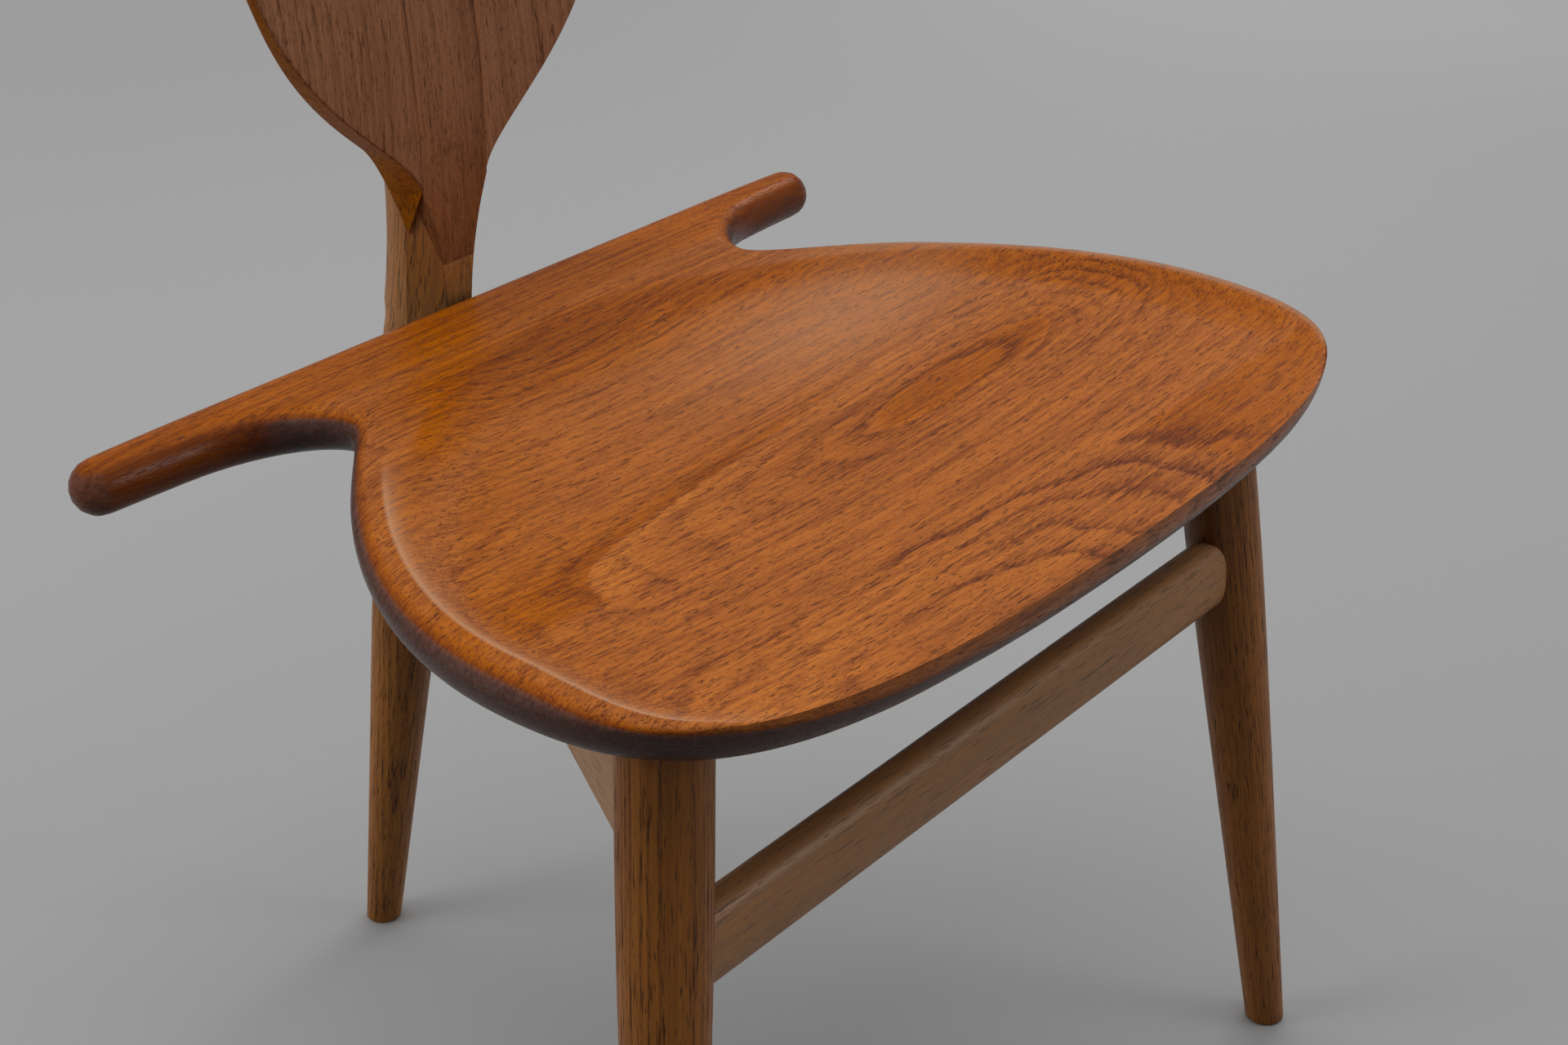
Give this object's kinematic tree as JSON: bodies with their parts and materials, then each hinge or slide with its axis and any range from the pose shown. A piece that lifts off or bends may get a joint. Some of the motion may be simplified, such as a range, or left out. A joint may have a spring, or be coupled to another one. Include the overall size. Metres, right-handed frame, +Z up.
{
  "type": "valet chair",
  "caption": "Wooden valet chair on splayed legs: a carved seat with trouser horns that tips up over a shallow box, and a back shaped as a coat hanger.",
  "frame": {"origin": "on the floor, under the middle of the overall box", "axes": "+Z up, +Y from the front of the seat to the back, +X to the right as seen from the front"},
  "size_m": [0.5532, 0.5284, 0.9484],
  "materials": {
    "oak": "oiled, satin",
    "teak": "oiled, satin",
    "beech": "bare",
    "brass": "satin",
    "leather": "plain"
  },
  "bodies": {
    "frame": {"front_leg_left": "oak", "front_leg_right": "oak", "rear_leg": "oak", "front_rail": "oak", "side_rail_left": "oak", "side_rail_right": "oak", "box_front": "oak", "box_floor": "teak", "back_centre": "teak", "back_wing_left": "teak", "back_wing_right": "teak", "front_rail_dowel_left_1": "beech", "front_rail_dowel_left_2": "beech", "front_rail_dowel_right_1": "beech", "front_rail_dowel_right_2": "beech", "side_rail_dowel_left_front_1": "beech", "side_rail_dowel_left_front_2": "beech", "side_rail_dowel_left_rear_1": "beech", "side_rail_dowel_left_rear_2": "beech", "side_rail_dowel_right_front_1": "beech", "side_rail_dowel_right_front_2": "beech", "side_rail_dowel_right_rear_1": "beech", "side_rail_dowel_right_rear_2": "beech", "scarf_dowel_left": "beech", "scarf_dowel_right": "beech", "hinge_leg_leaf_left": "brass", "hinge_leg_leaf_right": "brass", "hinge_pin_left": "brass", "hinge_pin_right": "brass", "hinge_leg_screw_left_1": "brass", "hinge_leg_screw_left_2": "brass", "hinge_leg_screw_left_3": "brass", "hinge_leg_screw_right_1": "brass", "hinge_leg_screw_right_2": "brass", "hinge_leg_screw_right_3": "brass", "seat_buffer_left": "leather", "seat_buffer_right": "leather"},
    "seat": {"seat": "teak", "hinge_seat_leaf_left": "brass", "hinge_seat_leaf_right": "brass", "hinge_seat_screw_left_1": "brass", "hinge_seat_screw_left_2": "brass", "hinge_seat_screw_left_3": "brass", "hinge_seat_screw_right_1": "brass", "hinge_seat_screw_right_2": "brass", "hinge_seat_screw_right_3": "brass"}
  },
  "joints": [
    {"name": "seat_tip", "type": "hinge", "parent": "frame", "child": "seat", "pos_m": [0, -0.20579, 0.42675], "axis": [1, 0, 0], "range_deg": [0, 88]}
  ]
}
